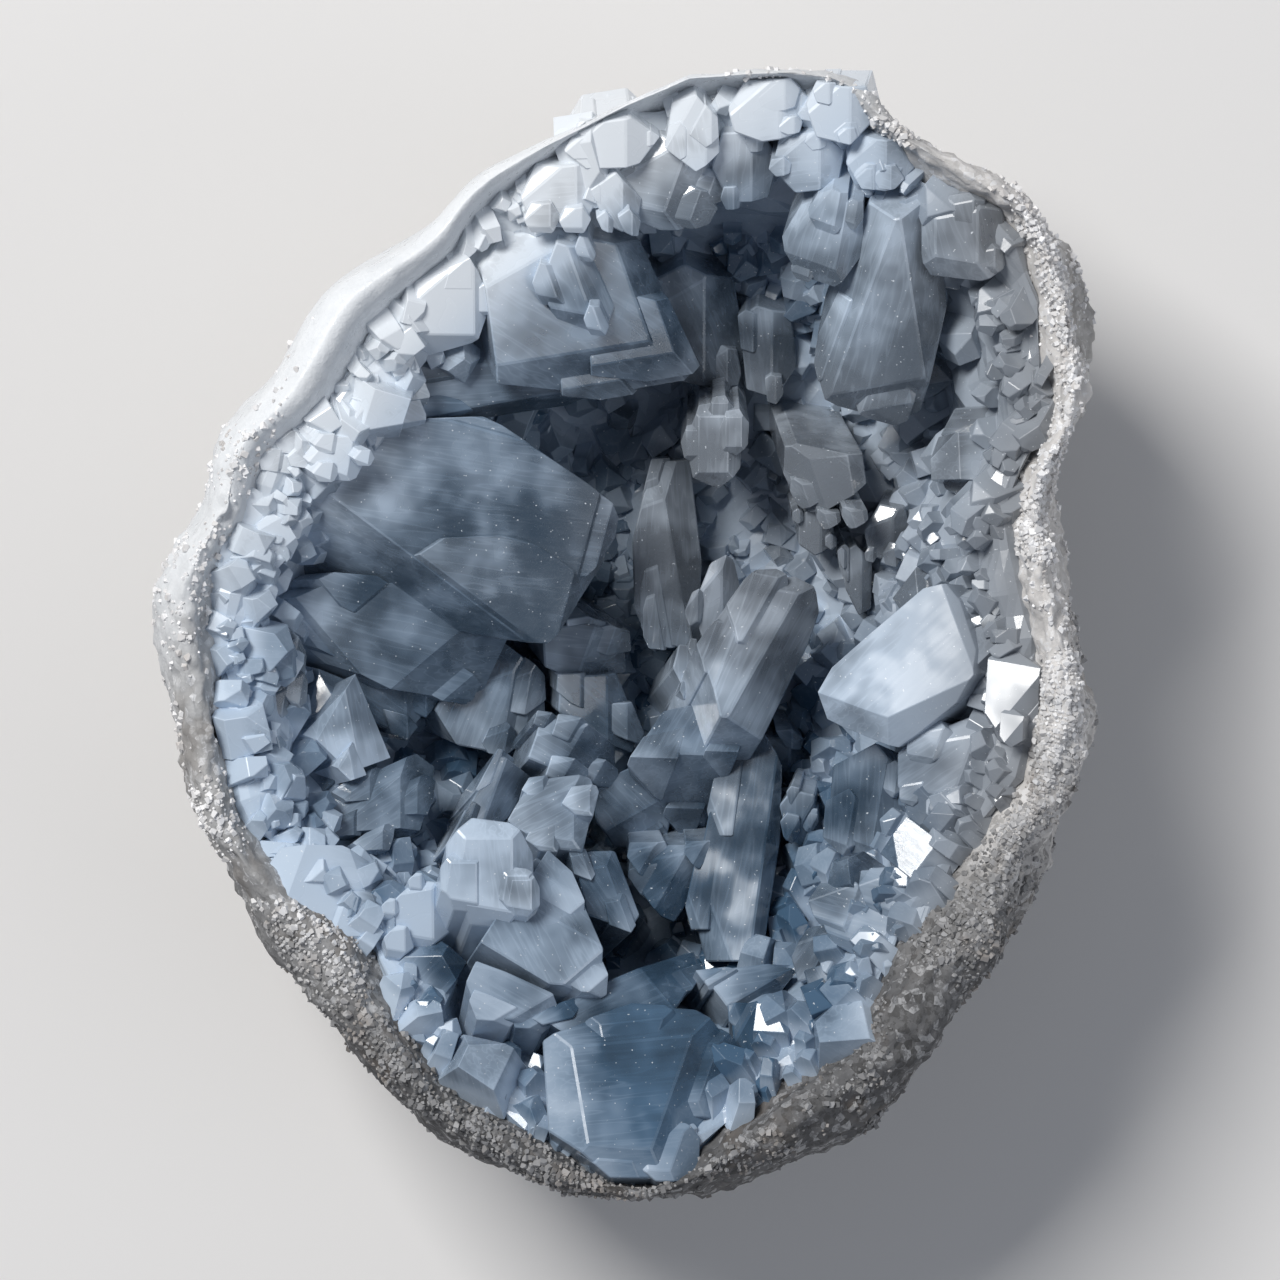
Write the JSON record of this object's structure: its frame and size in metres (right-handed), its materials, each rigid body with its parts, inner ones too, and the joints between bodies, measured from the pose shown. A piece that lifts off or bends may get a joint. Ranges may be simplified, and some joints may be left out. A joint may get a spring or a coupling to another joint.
{
  "type": "celestite geode",
  "caption": "Half of a hollow celestite nodule lying on its rounded rind, the hollow full of pale to mid blue crystals.",
  "frame": {"origin": "middle of the overall box at the flat resting spot under the rind", "axes": "+Z out of the hollow, +Y along the longer way of the hollow's mouth towards the great clear tooth, +X across it"},
  "size_m": [0.0964, 0.1152, 0.0538],
  "materials": {
    "rind": "rough",
    "crystal": "gloss"
  },
  "bodies": {
    "root": {"rind": "rind", "crystal_crust": "crystal"}
  },
  "joints": []
}
